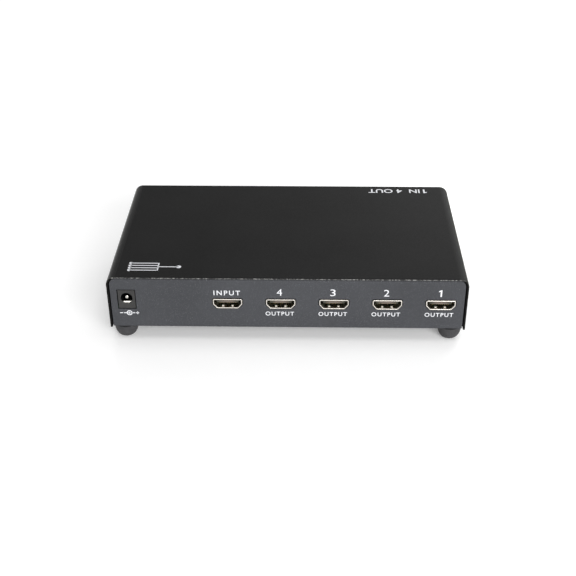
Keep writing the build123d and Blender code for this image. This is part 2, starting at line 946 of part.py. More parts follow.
def make_power_switch():
    """The push switch: housing, base, stem with its slider, bridges, spring and pins."""
    roof = board_top + switch_height - switch_wall
    cavity_length = switch_length - 2 * switch_wall
    base_top = board_top + switch_wall
    middle_y = (switch_front + switch_back) / 2
    with BuildPart() as housing:
        with Locations((button_x, middle_y, base_top)):
            Box(
                switch_width,
                switch_length,
                switch_height - switch_wall,
                align=(Align.CENTER, Align.CENTER, Align.MIN),
            )
            Box(
                switch_width - 2 * switch_wall,
                cavity_length,
                roof - base_top,
                align=(Align.CENTER, Align.CENTER, Align.MIN),
                mode=Mode.SUBTRACT,
            )
        with BuildSketch(upright(switch_front + switch_wall)):
            with Locations((button_x, button_z)):
                Rectangle(stem_width + 2 * stem_gap, stem_width + 2 * stem_gap)
        extrude(amount=switch_wall, mode=Mode.SUBTRACT)
    housing.part.label = "power_switch_housing"
    export_step(housing.part, "parts/power_switch_housing.step")

    with BuildPart() as base:
        with BuildSketch(Plane.XY.offset(board_top)):
            with Locations((button_x, middle_y)):
                Rectangle(switch_width, switch_length)
            with Locations(*switch_pin_places()):
                Rectangle(switch_pin_thickness, switch_pin_width, mode=Mode.SUBTRACT)
        extrude(amount=switch_wall)
    base.part.label = "power_switch_base"
    export_step(base.part, "parts/power_switch_base.step")

    with BuildPart() as plunger:
        with BuildSketch(upright(slider_back)):
            with Locations((button_x, button_z)):
                Rectangle(slider_width, slider_height)
        extrude(amount=slider_length)
        with BuildSketch(upright(slider_front)):
            with Locations((button_x, button_z)):
                Rectangle(stem_width, stem_width)
        extrude(amount=slider_front - stem_tip)
    plunger.part.label = "power_switch_plunger"
    export_step(plunger.part, "parts/power_switch_plunger.step")

    bridge_top = button_z - slider_height / 2
    bridge_under = bridge_top - bridge_thickness
    with BuildPart() as bridges:
        with BuildSketch(Plane.XY.offset(bridge_top)):
            with Locations((button_x, (slider_front + slider_back) / 2)):
                with GridLocations(bridge_spacing, 0, 2, 1):
                    Rectangle(bridge_width, slider_length)
        extrude(amount=-bridge_thickness)
    bridges.part.label = "power_switch_bridges"
    export_step(bridges.part, "parts/power_switch_bridges.step")

    pin_top = bridge_under - bridge_gap
    with BuildPart() as pins:
        with BuildSketch(Plane.XY.offset(pin_top)):
            with Locations(*switch_pin_places()):
                Rectangle(switch_pin_thickness, switch_pin_width)
        extrude(amount=board_under - terminal_tail - pin_top)
    pins.part.label = "power_switch_terminals"
    export_step(pins.part, "parts/power_switch_terminals.step")

    # The spring lies between the slider and the back wall
    seat = slider_back + spring_seat_gap + spring_wire / 2
    coil_length = switch_back - switch_wall - spring_seat_gap - spring_wire / 2 - seat
    coil_radius = (spring_diameter - spring_wire) / 2
    with BuildPart() as spring:
        with BuildLine() as coil:
            Helix(
                coil_length / spring_turns,
                coil_length,
                coil_radius,
                center=(button_x, seat, button_z),
                direction=(0, 1, 0),
            )
        with BuildSketch(Plane(origin=coil.line @ 0, z_dir=coil.line % 0)):
            Circle(spring_wire / 2)
        sweep(is_frenet=True)
    spring.part.label = "power_switch_spring"
    export_step(spring.part, "parts/power_switch_spring.step")


def lead_row(count, pitch, reach, shoulder_height):
    """A row of bent leads along X, on the board, that leave a chip's side at y = reach."""
    outer = reach + lead_shoulder
    with BuildPart() as row:
        for place in range(count):
            with BuildSketch(Plane.YZ.offset((place - (count - 1) / 2) * pitch)):
                with BuildLine():
                    Polyline(
                        (reach, shoulder_height),
                        (reach, shoulder_height + lead_thickness),
                        (outer, shoulder_height + lead_thickness),
                        (outer, lead_thickness),
                        (outer + lead_foot, lead_thickness),
                        (outer + lead_foot, 0),
                        (outer - lead_thickness, 0),
                        (outer - lead_thickness, shoulder_height),
                        close=True,
                    )
                make_face()
            extrude(amount=lead_width / 2, both=True)
    return row.part


def make_splitter_chip():
    """The large chip, its leads on four sides, the thermal pad and the finned heat sink."""
    chip_under = board_top + chip_gap
    chip_top = chip_under + splitter_thickness
    pad_top = chip_top + thermal_pad_thickness
    with BuildPart() as chip:
        with BuildSketch(Plane.XY.offset(chip_under)):
            with Locations((splitter_x, splitter_y)):
                Rectangle(splitter_size, splitter_size)
        extrude(amount=splitter_thickness)
    chip.part.label = "splitter_chip"
    export_step(chip.part, "parts/splitter_chip.step")

    side = lead_row(
        splitter_leads, splitter_lead_pitch, splitter_size / 2, chip_gap + splitter_thickness / 2
    )
    with BuildPart() as leads:
        with Locations((splitter_x, splitter_y, board_top)):
            with PolarLocations(0, 4):
                add(side)
    leads.part.label = "splitter_chip_leads"
    export_step(leads.part, "parts/splitter_chip_leads.step")

    with BuildPart() as pad:
        with BuildSketch(Plane.XY.offset(chip_top)):
            with Locations((splitter_x, splitter_y)):
                Rectangle(
                    splitter_size - 2 * thermal_pad_inset, splitter_size - 2 * thermal_pad_inset
                )
        extrude(amount=thermal_pad_thickness)
    pad.part.label = "thermal_pad"
    export_step(pad.part, "parts/thermal_pad.step")

    fin_pitch = (heatsink_size - heatsink_fin) / (heatsink_fins - 1)
    with BuildPart() as heatsink:
        with BuildSketch(Plane.XY.offset(pad_top)):
            with Locations((splitter_x, splitter_y)):
                Rectangle(heatsink_size, heatsink_size)
        extrude(amount=heatsink_base)
        with BuildSketch(Plane.XY.offset(pad_top + heatsink_base)):
            with Locations((splitter_x, splitter_y)):
                with GridLocations(fin_pitch, 0, heatsink_fins, 1):
                    Rectangle(heatsink_fin, heatsink_size)
        extrude(amount=heatsink_height - heatsink_base)
    heatsink.part.label = "heatsink"
    export_step(heatsink.part, "parts/heatsink.step")


def make_controller():
    """The small controller chip with its leads, and the crystal in its metal can."""
    chip_under = board_top + chip_gap
    with BuildPart() as chip:
        with BuildSketch(Plane.XY.offset(chip_under)):
            with Locations((controller_x, controller_y)):
                Rectangle(controller_size, controller_size)
        extrude(amount=controller_thickness)
    chip.part.label = "controller_chip"
    export_step(chip.part, "parts/controller_chip.step")

    side = lead_row(
        controller_leads,
        controller_lead_pitch,
        controller_size / 2,
        chip_gap + controller_thickness / 2,
    )
    with BuildPart() as leads:
        with Locations((controller_x, controller_y, board_top)):
            with PolarLocations(0, 4):
                add(side)
    leads.part.label = "controller_chip_leads"
    export_step(leads.part, "parts/controller_chip_leads.step")

    crystal_x = controller_x + (controller_size + crystal_width) / 2 + crystal_gap
    with BuildPart() as crystal:
        with BuildSketch(Plane.XY.offset(board_top)):
            with Locations((crystal_x, controller_y)):
                SlotOverall(crystal_length, crystal_width, rotation=90)
        extrude(amount=crystal_foot)
        with BuildSketch(Plane.XY.offset(board_top)):
            with Locations((crystal_x, controller_y)):
                SlotOverall(
                    crystal_length - 2 * crystal_foot_rim,
                    crystal_width - 2 * crystal_foot_rim,
                    rotation=90,
                )
        extrude(amount=crystal_height)
        fillet(crystal.faces().sort_by(Axis.Z)[-1].edges(), radius=crystal_foot)
    crystal.part.label = "crystal"
    export_step(crystal.part, "parts/crystal.step")


def make_port_chips():
    """A memory chip and two protection chips behind each socket."""
    memory_places = [(x, port_mouth - memory_setback) for x in port_xs.values()]
    with BuildPart() as chips:
        with BuildSketch(Plane.XY.offset(board_top + chip_gap)):
            with Locations(*memory_places):
                Rectangle(memory_length, memory_width)
        extrude(amount=memory_thickness)
    chips.part.label = "memory_chips"
    export_step(chips.part, "parts/memory_chips.step")

    side = lead_row(
        memory_leads, memory_lead_pitch, memory_width / 2, chip_gap + memory_thickness / 2
    )
    with BuildPart() as leads:
        for x, y in memory_places:
            with Locations((x, y, board_top)):
                with PolarLocations(0, 2):
                    add(side)
    leads.part.label = "memory_chip_leads"
    export_step(leads.part, "parts/memory_chip_leads.step")

    with BuildPart() as protection:
        with BuildSketch(Plane.XY.offset(board_top)):
            for x in port_xs.values():
                with Locations((x, port_mouth - protection_setback)):
                    with GridLocations(protection_spacing, 0, 2, 1):
                        Rectangle(protection_length, protection_width)
        extrude(amount=protection_thickness)
    protection.part.label = "port_protection_chips"
    export_step(protection.part, "parts/port_protection_chips.step")


def make_power_parts():
    """The parts between the power inlet and the chips."""
    capacitor_x = power_x - capacitor_side_inset
    radius = capacitor_diameter / 2
    with BuildPart() as can:
        with BuildSketch(Plane.XZ):
            with BuildLine():
                Polyline(
                    (0, 0),
                    (radius, 0),
                    (radius, capacitor_groove_height - capacitor_groove),
                    (radius - capacitor_groove, capacitor_groove_height),
                    (radius, capacitor_groove_height + capacitor_groove),
                    (radius, capacitor_height - capacitor_groove),
                    (radius - capacitor_groove, capacitor_height),
                    (0, capacitor_height),
                    close=True,
                )
            make_face()
        revolve(axis=Axis.Z)
    with BuildPart() as capacitors:
        with Locations(*[(capacitor_x, rear_face - back, board_top) for back in capacitor_setbacks]):
            add(can.part)
    capacitors.part.label = "filter_capacitors"
    export_step(capacitors.part, "parts/filter_capacitors.step")

    inductor_x = power_x - inductor_side_inset
    inductor_y = rear_face - inductor_setback
    with BuildPart() as inductor:
        with BuildSketch(Plane.XY.offset(board_top)):
            with Locations((inductor_x, inductor_y)):
                RectangleRounded(inductor_size, inductor_size, inductor_corner)
        extrude(amount=inductor_height)
        with BuildSketch(Plane.XY.offset(board_top + inductor_height)):
            with Locations((inductor_x, inductor_y)):
                Circle(inductor_drum / 2)
                Circle(inductor_drum / 2 - inductor_drum_step, mode=Mode.SUBTRACT)
        extrude(amount=-inductor_drum_step, mode=Mode.SUBTRACT)
    inductor.part.label = "power_inductor"
    export_step(inductor.part, "parts/power_inductor.step")

    diode_x = power_x - diode_side_inset
    diode_y = rear_face - diode_setback
    with BuildPart() as diode:
        with Locations((diode_x, diode_y, board_top + chip_gap)):
            Box(
                diode_length,
                diode_width,
                diode_thickness,
                align=(Align.CENTER, Align.CENTER, Align.MIN),
            )
        with Locations((diode_x, diode_y, board_top)):
            with GridLocations(diode_length, 0, 2, 1):
                Box(
                    diode_foot,
                    diode_width / 2,
                    diode_foot_height,
                    align=(Align.CENTER, Align.CENTER, Align.MIN),
                )
    diode.part.label = "power_diode"
    export_step(diode.part, "parts/power_diode.step")

    regulator_x = power_x - regulator_side_inset
    regulator_y = rear_face - regulator_setback
    lead_y = regulator_y - regulator_length / 2
    with BuildPart() as regulator:
        with Locations((regulator_x, regulator_y, board_top)):
            Box(
                regulator_width,
                regulator_length,
                regulator_thickness,
                align=(Align.CENTER, Align.CENTER, Align.MIN),
            )
        with Locations((regulator_x, regulator_y + regulator_length / 2, board_top)):
            Box(
                regulator_width - 2 * regulator_tab_thickness,
                regulator_tab,
                regulator_tab_thickness,
                align=(Align.CENTER, Align.MIN, Align.MIN),
            )
        with Locations((regulator_x, lead_y, board_top)):
            with GridLocations(2 * regulator_lead_pitch, 0, 2, 1):
                Box(
                    regulator_lead_width,
                    regulator_lead_run,
                    regulator_tab_thickness,
                    align=(Align.CENTER, Align.MAX, Align.MIN),
                )
    regulator.part.label = "voltage_regulator"
    export_step(regulator.part, "parts/voltage_regulator.step")


def make_chip_parts():
    """Rows of small capacitors and resistors, beside the chips that they serve."""
    splitter_reach = heatsink_size / 2 + chip_part_gap
    controller_reach = controller_size / 2 + lead_shoulder + lead_foot + chip_part_gap
    memory_reach = memory_length / 2 + chip_part_gap
    row_span = (chip_row_count - 1) * chip_part_spacing
    capacitor_places = [
        (splitter_x + side * splitter_reach, splitter_y - row_span / 2 + place * chip_part_spacing)
        for side in (-1, 1)
        for place in range(chip_row_count)
    ]
    capacitor_places += [
        (x + memory_reach, port_mouth - memory_setback) for x in port_xs.values()
    ]
    resistor_places = [
        (controller_x - row_span / 2 + place * chip_part_spacing, y)
        for y in (controller_y - controller_reach, controller_y + controller_reach)
        for place in range(chip_row_count)
    ]
    resistor_places += [
        (x - memory_reach, port_mouth - memory_setback) for x in port_xs.values()
    ]
    resistor_places += [
        (x + led_lead_spacing, led_lead_y() + chip_part_spacing) for x in led_xs.values()
    ]
    for name, places, height in (
        ("ceramic_capacitors", capacitor_places, chip_capacitor_height),
        ("chip_resistors", resistor_places, chip_resistor_height),
    ):
        with BuildPart() as chips:
            with BuildSketch(Plane.XY.offset(board_top)):
                with Locations(*places):
                    Rectangle(chip_part_width, chip_part_length)
            extrude(amount=height)
        chips.part.label = name
        export_step(chips.part, f"parts/{name}.step")


make_top_cover()
make_base_chassis()
make_feet()
make_cover_screws()
make_board_fixings()
make_main_board()
for port_name, port_x in port_xs.items():
    make_port_shell(port_name, port_x)
    port_contacts = make_port_contacts(port_name, port_x)
    make_port_insulator(port_name, port_x, port_contacts)
make_dc_jack()
for led_name, led_x in led_xs.items():
    make_led(led_name, led_x)
make_led_fittings()
make_power_button()
make_power_switch()
make_splitter_chip()
make_controller()
make_port_chips()
make_power_parts()
make_chip_parts()
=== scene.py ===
"""The looks of a four-way video splitter in a folded steel case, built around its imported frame.

Everything is in metres, in the frame's axes: +Z up, the sockets face +Y, the button faces -Y.
"""

import json
import math

import bmesh
import bpy
from mathutils import Matrix, Vector


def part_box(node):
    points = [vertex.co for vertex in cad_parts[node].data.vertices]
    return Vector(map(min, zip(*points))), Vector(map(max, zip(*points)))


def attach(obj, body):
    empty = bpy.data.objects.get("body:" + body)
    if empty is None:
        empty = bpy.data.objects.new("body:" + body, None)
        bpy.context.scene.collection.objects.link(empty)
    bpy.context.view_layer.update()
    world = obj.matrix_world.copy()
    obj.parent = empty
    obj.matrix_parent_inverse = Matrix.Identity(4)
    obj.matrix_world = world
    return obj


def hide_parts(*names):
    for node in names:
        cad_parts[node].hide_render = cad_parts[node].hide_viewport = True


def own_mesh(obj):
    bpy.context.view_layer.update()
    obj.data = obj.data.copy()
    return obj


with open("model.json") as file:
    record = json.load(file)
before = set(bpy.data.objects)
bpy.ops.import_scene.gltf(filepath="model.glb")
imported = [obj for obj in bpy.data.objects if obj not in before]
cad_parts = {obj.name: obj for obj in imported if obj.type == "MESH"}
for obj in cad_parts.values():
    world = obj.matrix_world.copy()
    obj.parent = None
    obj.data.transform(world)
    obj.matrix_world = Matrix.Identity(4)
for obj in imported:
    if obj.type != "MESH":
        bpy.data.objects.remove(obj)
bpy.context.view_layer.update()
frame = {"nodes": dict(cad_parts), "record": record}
nodes = frame["nodes"]

MM = 0.001

# Camera, on the sockets' side
CAMERA_PLACE = Vector((-11.13, 484.94, 308.74)) * MM
CAMERA_HEADING = math.radians(181.40)
CAMERA_PITCH = math.radians(32.485)
CAMERA_ROLL = math.radians(-0.315)
LENS_MM = 63.28
SENSOR_MM = 36.0

# Printing
INK_THICKNESS = 0.03 * MM
INK_LIFT = 0.004 * MM
BOLD = 0.012
LETTER_DEPTH = 0.01
RING_STEPS = 40
ONE_WIDTH = 0.62
# Sizes: a width and a height, and for a number the stem of its 1
REAR_NUMBER = (2.75 * MM, 4.0 * MM, 0.78 * MM)
FRONT_NUMBER = (2.3 * MM, 3.2 * MM, 0.7 * MM)
TOP_NUMBER = (3.4 * MM, 4.6 * MM, 0.95 * MM)
OUTPUT_LABEL = (14.7 * MM, 2.4 * MM)
INPUT_LABEL = (13.6 * MM, 2.8 * MM)
BUTTON_LABEL = (15.2 * MM, 3.1 * MM)
TOP_WORDS = (29.8 * MM, 4.6 * MM)
# Places on the panels: a shift in X from a node's middle, and a height above the underside
REAR_NUMBER_AT = (0.65 * MM, 22.0 * MM)
OUTPUT_LABEL_AT = (0.5 * MM, 9.0 * MM)
INPUT_LABEL_AT = (0.2 * MM, 21.4 * MM)
POLARITY_SIGN_AT = (-0.85 * MM, 8.8 * MM)
FRONT_NUMBER_AT = (0.2 * MM, 9.1 * MM)
BUTTON_LABEL_AT = (-0.8 * MM, 6.6 * MM)
# Places on the top
BRANCHING_SIGN_AT = (69.5 * MM, 41.2 * MM)
TOP_NUMBER_X = -78.4 * MM
TOP_WORDS_X = -60.4 * MM
TOP_WORDS_Y = -45.6 * MM

# Places worked out from the frame
CHASSIS_LOW, CHASSIS_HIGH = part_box("base_chassis")
COVER_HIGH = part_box("top_cover")[1]
REAR_FACE = CHASSIS_HIGH.y
FRONT_FACE = CHASSIS_LOW.y
UNDERSIDE = CHASSIS_LOW.z
COVER_TOP = COVER_HIGH.z
SOCKET_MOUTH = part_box("video_in_shell")[1].y
SOCKETS = ("video_in", "video_out_1", "video_out_2", "video_out_3", "video_out_4")
SOCKET_OPENING = 4.55 * MM
COVER_BEND = 5 * MM
FLANK = COVER_HIGH.x - COVER_BEND

# Fine structure of the surfaces
CLOUD_SIZE = 35 * MM
GLINT_SIZE = 0.35 * MM
SPARK_SIZE = 1.1 * MM
FLOW_SIZE = 6 * MM
INLET_FLOW_SIZE = 4 * MM
BUTTON_GRAIN = 0.4 * MM
TARNISH_SIZE = 2.5 * MM
BLOOM_SIZE = 3 * MM
PIT_SIZE = 0.5 * MM
PIT_DEPTH = 0.02 * MM
TRACK_DEPTH = 0.03 * MM
CHIP_GRAIN = 0.4 * MM
CHIP_DEPTH = 0.01 * MM
INK_GRAIN = 0.6 * MM
INK_DEPTH = 0.006 * MM
PEEL_SIZE = 0.45 * MM
PEEL_DEPTH = 0.03 * MM
PEEL_ROUGHNESS = (0.55, 0.7)
SMOOTH_BEND_ROUGHNESS = (0.24, 0.24, 0.24)
MOULD_GRAIN = 0.25 * MM
MOULD_DEPTH = 0.012 * MM
LINE_SIZE = 0.3 * MM
LINE_DEPTH = 0.004 * MM
ALONG_Y = (1, 0.2, 1)
LENS_CLOUD = 0.8 * MM
LENS_DEPTH = 0.005 * MM
TRACK_PITCH = 9 * MM
HOLE_PITCH = 4.5 * MM

# Where the looks of a surface change, as the start and the end of the change
CUT_WALL = (0.35 * MM, 0.05 * MM)
PANEL_MARGIN = (1.5 * MM, 1.3 * MM)
BEND_BORDER = (-0.2 * MM, 0.3 * MM)
SMOOTH_BELOW_TOP = (13 * MM, COVER_BEND)
COVER_END = (0.25 * MM, 0.12 * MM)
COVER_EDGE_BELOW_TOP = 0.7 * MM
COVER_EDGE_HALF = (0.3 * MM, 0.4 * MM)
INLET_FACE_DEPTH = 0.35 * MM
LEAF_DEPTH = (2.4 * MM, 1.8 * MM)
TUBE_DEPTH = (1.4 * MM, 0.3 * MM)
SPRING_REACH = 2.4 * MM
SPRING_HALF = (0.4 * MM, 0.6 * MM)
CREST_DEPTH = 1.5 * MM
CREST_HALF = (0.3 * MM, 0.6 * MM)
SPRING_LOW = (1.5 * MM, 1.2 * MM)
TONGUE_DEPTH = (6 * MM, 3 * MM)
TONGUE_HALF = (2 * MM, 4.8 * MM)
LENS_HALF = 0.9 * MM
LENS_RING = (0.4 * MM, 0.8 * MM)

# Studio: each light's place, size and watts
LIGHTS = {
    "key": ((-0.6, 1.25, 0.7), (0.9, 0.6), 17),
    "front_fill": ((-0.6, -1.45, 0.4), (0.9, 0.6), 12),
    "overhead": ((0.0, 0.1, 1.6), (1.2, 1.2), 8),
}
AIM = Vector((0, 0, 0.02))
FLOOR_COLOUR = (0.86, 0.86, 0.86, 1)
FLOOR_REACH = 6.0
FLOOR_GLOW = 0.2
SURROUND_LIGHT = 0.42
SURROUND_SEEN = 1.0


def middle(node):
    """The middle of a frame node's box."""
    low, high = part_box(node)
    return (low + high) / 2


# Shader helpers


class Shader:
    """A node material with one Principled surface, and short calls for what feeds it."""

    def __init__(self, name):
        self.material = bpy.data.materials.new(name)
        self.material.use_nodes = True
        self.tree = self.material.node_tree
        self.surface = self.tree.nodes["Principled BSDF"]
        self.place = self.node("ShaderNodeTexCoord").outputs["Object"]

    def node(self, kind, **values):
        """A new node of that kind, with its settings."""
        made = self.tree.nodes.new(kind)
        for key, value in values.items():
            setattr(made, key, value)
        return made

    def link(self, source, target):
        """Feeds one socket from another."""
        self.tree.links.new(source, target)

    def stretched(self, scale):
        """The object's coordinates, stretched along the three axes."""
        mapping = self.node("ShaderNodeMapping")
        mapping.inputs["Scale"].default_value = scale
        self.link(self.place, mapping.inputs["Vector"])
        return mapping.outputs["Vector"]

    def noise(self, size, detail=2.0, roughness=0.5, place=None):
        """Noise whose features are about that size, in metres."""
        noise = self.node("ShaderNodeTexNoise")
        noise.inputs["Scale"].default_value = 1 / size
        noise.inputs["Detail"].default_value = detail
        noise.inputs["Roughness"].default_value = roughness
        self.link(place or self.place, noise.inputs["Vector"])
        return noise.outputs["Fac"]

    def cells(self, size):
        """The distance to the nearest of many scattered points about that far apart."""
        cells = self.node("ShaderNodeTexVoronoi")
        cells.inputs["Scale"].default_value = 1 / size
        self.link(self.place, cells.inputs["Vector"])
        return cells.outputs["Distance"]

    def ramp(self, value, low, high, start=0.3, end=0.7):
        """A blend from low to high as value goes from start to end. Both are colours or numbers."""
        ramp = self.node("ShaderNodeMapRange")
        ramp.inputs["From Min"].default_value = start
        ramp.inputs["From Max"].default_value = end
        self.link(value, ramp.inputs["Value"])
        if isinstance(low, (int, float)):
            ramp.inputs["To Min"].default_value = low
            ramp.inputs["To Max"].default_value = high
            return ramp.outputs["Result"]
        mix = self.node("ShaderNodeMix", data_type="RGBA")
        self.link(ramp.outputs["Result"], mix.inputs["Factor"])
        for socket, colour in (("A", low), ("B", high)):
            if isinstance(colour, bpy.types.NodeSocket):
                self.link(colour, mix.inputs[socket])
            else:
                mix.inputs[socket].default_value = (*colour, 1)
        return mix.outputs["Result"]

    def along(self, axis):
        """The object's coordinate along one axis, in metres."""
        split = self.node("ShaderNodeSeparateXYZ")
        self.link(self.place, split.inputs["Vector"])
        return split.outputs[axis]

    def short_of(self, value, place, span, low, high):
        """A blend as value goes from the first to the second distance in span short of a place."""
        return self.ramp(value, low, high, start=place - span[0], end=place - span[1])

    def within(self, value, span, low=1, high=0):
        """A blend as value goes from the first to the second number in span."""
        return self.ramp(value, low, high, start=span[0], end=span[1])

    def away(self, value, place):
        """How far a value lies from a place, on either side."""
        less = self.node("ShaderNodeMath", operation="SUBTRACT")
        less.inputs[1].default_value = place
        self.link(value, less.inputs[0])
        away = self.node("ShaderNodeMath", operation="ABSOLUTE")
        self.link(less.outputs[0], away.inputs[0])
        return away.outputs[0]

    def upward(self):
        """How much a surface looks up: 1 on the flat, 0 on an upright wall."""
        split = self.node("ShaderNodeSeparateXYZ")
        self.link(self.node("ShaderNodeNewGeometry").outputs["Normal"], split.inputs["Vector"])
        return split.outputs["Z"]

    def both(self, first, second):
        """The product of two masks."""
        product = self.node("ShaderNodeMath", operation="MULTIPLY")
        self.link(first, product.inputs[0])
        self.link(second, product.inputs[1])
        return product.outputs[0]

    def from_axis(self, centre):
        """How far a point lies from the line along Y through a place, in metres."""
        moved = self.node("ShaderNodeMapping")
        moved.inputs["Location"].default_value = (-centre.x, 0, -centre.z)
        moved.inputs["Scale"].default_value = (1, 0, 1)
        self.link(self.place, moved.inputs["Vector"])
        length = self.node("ShaderNodeVectorMath", operation="LENGTH")
        self.link(moved.outputs["Vector"], length.inputs[0])
        return length.outputs["Value"]

    def colour(self, source):
        """Feeds the surface's colour."""
        self.link(source, self.surface.inputs["Base Color"])

    def roughness(self, source):
        """Feeds the surface's roughness."""
        self.link(source, self.surface.inputs["Roughness"])

    def bump(self, height, depth, strength):
        """Bends the surface's normal by a height from 0 to 1, over a depth in metres."""
        bump = self.node("ShaderNodeBump")
        bump.inputs["Distance"].default_value = depth
        bump.inputs["Strength"].default_value = strength
        self.link(height, bump.inputs["Height"])
        self.link(bump.outputs["Normal"], self.surface.inputs["Normal"])

    def set(self, **values):
        """Sets the surface's own sockets, with _ for a space in their names."""
        for key, value in values.items():
            self.surface.inputs[key.replace("_", " ")].default_value = value

    def mould_skin(self, smooth, rough, grain=MOULD_GRAIN):
        """The fine spark-eroded grain of a moulding, with a slight unevenness in its shine."""
        grains = self.noise(grain, detail=3, roughness=0.65)
        self.roughness(self.ramp(grains, smooth, rough))
        self.bump(grains, MOULD_DEPTH, strength=0.4)

    def line_skin(self, smooth, rough, lines):
        """The fine lines of drawn or brushed metal, stretched along the axes."""
        brushed = self.noise(LINE_SIZE, detail=2, place=self.stretched(lines))
        self.roughness(self.ramp(brushed, smooth, rough))
        self.bump(brushed, LINE_DEPTH, strength=0.3)

    def lens_skin(self):
        """The slight unevenness of a small lens."""
        self.bump(self.noise(LENS_CLOUD, detail=2), LENS_DEPTH, strength=0.2)


def tint(colour, factor):
    """A colour made lighter or darker."""
    return tuple(channel * factor for channel in colour)


def powder_skin(name, colour, shine):
    """Fine-textured powder coat with small painted glints, pale specks in its colour: the shader, its
    colour and its roughness.
    """
    shader = Shader(name)
    skin = shader.noise(PEEL_SIZE, detail=3, roughness=0.6)
    cloud = shader.noise(CLOUD_SIZE, detail=2)
    base = shader.ramp(cloud, tint(colour, 0.9), tint(colour, 1.1))
    # Small pale specks in the colour: painted glints.
    painted_glint_mask = shader.ramp(shader.noise(GLINT_SIZE, detail=1), 0, 1, start=0.62, end=0.72)
    coat = shader.ramp(painted_glint_mask, base, tint(colour, 2.6), start=0, end=1)
    shader.bump(skin, PEEL_DEPTH, strength=0.75)
    shader.set(Specular_IOR_Level=shine)
    return shader, coat, shader.ramp(skin, *PEEL_ROUGHNESS)


def panel_coat(name, colour, shine, cut_shade):
    """Powder coat on the base's panels, with painted shade on the walls of the holes that are cut through
    them.
    """
    shader, coat, peel = powder_skin(name, colour, shine)
    shader.roughness(peel)
    depth = shader.away(shader.along("Y"), 0)
    # Painted shade on the cut walls inside the holes.
    inside = shader.short_of(depth, REAR_FACE, CUT_WALL, 1, 0)
    half_height = (CHASSIS_HIGH.z - UNDERSIDE) / 2
    height = shader.away(shader.along("Z"), UNDERSIDE + half_height)
    wall = shader.short_of(height, half_height, PANEL_MARGIN, 1, 0)
    shader.colour(shader.ramp(shader.both(inside, wall), coat, cut_shade, start=0, end=1))
    return shader.material


def cover_coat(name, colour, shine, bend_gleam, edge_colour, glint):
    """Powder coat on the cover: painted highlights on the bends, and dots of painted glints on the top's
    cut edges.

    The studio's lamps stand towards -X, so the +X bend is smoother, to look as bright as the other one.
    """
    shader, coat, peel = powder_skin(name, colour, shine)
    across = shader.along("X")
    border = [FLANK + edge for edge in BEND_BORDER]
    steep = shader.upward()
    # A painted highlight on the bends, where they turn down from the top.
    turned = shader.both(
        shader.ramp(steep, 1, 0, start=0.45, end=0.94), shader.ramp(steep, 0, 1, start=0.03, end=0.2)
    )
    bend = shader.both(turned, shader.within(shader.away(across, 0), border, 0, 1))
    with_bend_gleam = shader.ramp(bend, coat, bend_gleam, start=0, end=1)
    high = shader.short_of(shader.along("Z"), COVER_TOP, SMOOTH_BELOW_TOP, 0, 1)
    smooth_side = shader.both(shader.within(across, border, 0, 1), high)
    shader.roughness(shader.ramp(smooth_side, peel, SMOOTH_BEND_ROUGHNESS, start=0, end=1))
    # Dots of painted glints on a paler band along the top's cut edges.
    sparks = shader.noise(SPARK_SIZE, detail=4, roughness=0.7)
    dots = shader.ramp(sparks, edge_colour, glint, start=0.46, end=0.62)
    depth = shader.away(shader.along("Y"), 0)
    outer = shader.short_of(depth, COVER_HIGH.y, COVER_END, 0, 1)
    height = shader.away(shader.along("Z"), COVER_TOP - COVER_EDGE_BELOW_TOP)
    band = shader.within(height, COVER_EDGE_HALF)
    shader.colour(shader.ramp(shader.both(outer, band), with_bend_gleam, dots, start=0, end=1))
    return shader.material


def moulded(name, colour, roughness):
    """Moulded plastic with a slight unevenness in its colour."""
    shader = Shader(name)
    flow = shader.noise(FLOW_SIZE, detail=2)
    shader.colour(shader.ramp(flow, tint(colour, 0.9), tint(colour, 1.1)))
    shader.mould_skin(roughness - 0.08, roughness + 0.08)
    shader.set(Specular_IOR_Level=0.4)
    return shader.material


def faced(name, face, depth, face_colour, deeper_shade):
    """Moulded plastic that is pale on the face at that Y, with painted shade in what lies deeper."""
    shader = Shader(name)
    flow = shader.noise(INLET_FLOW_SIZE, detail=2)
    pale = shader.ramp(flow, tint(face_colour, 0.92), tint(face_colour, 1.08))
    place = shader.along("Y")
    # Painted shade deeper in, inside the bore.
    shader.colour(shader.ramp(place, deeper_shade, pale, start=face - depth, end=face - depth / 2))
    shader.mould_skin(0.39, 0.53)
    shader.set(Specular_IOR_Level=0.3)
    return shader.material


def button_skin(name, face_colour, side_shade):
    """Moulded plastic, paler on the face, with painted shade on the side that looks up, in the shadow of
    the panel.
    """
    shader = Shader(name)
    flow = shader.noise(FLOW_SIZE, detail=2)
    face = shader.ramp(flow, tint(face_colour, 0.92), tint(face_colour, 1.08))
    # Painted shade on the side that looks up.
    shader.colour(shader.ramp(shader.upward(), face, side_shade, start=0.35, end=0.75))
    shader.mould_skin(0.36, 0.5, grain=BUTTON_GRAIN)
    shader.set(Specular_IOR_Level=0.35)
    return shader.material


def rubber(name, colour):
    """Matt rubber with a soft bloom and fine pits."""
    shader = Shader(name)
    bloom = shader.noise(BLOOM_SIZE, detail=3)
    pits = shader.cells(PIT_SIZE)
    shader.colour(shader.ramp(bloom, tint(colour, 0.8), tint(colour, 1.25)))
    shader.roughness(shader.ramp(bloom, 0.62, 0.8))
    shader.bump(pits, PIT_DEPTH, strength=0.35)
    shader.set(Specular_IOR_Level=0.35, Sheen_Weight=0.08)
    return shader.material


def metal(name, colour, roughness, lines=(1, 1, 1)):
    """Plated or drawn metal: fine lines along one axis, and a little tarnish."""
    shader = Shader(name)
    dull = shader.noise(TARNISH_SIZE, detail=3)
    shader.colour(shader.ramp(dull, tint(colour, 0.85), colour, start=0.35, end=0.6))
    shader.line_skin(roughness - 0.06, roughness + 0.08, lines)
    shader.set(Metallic=1.0)
    return shader.material


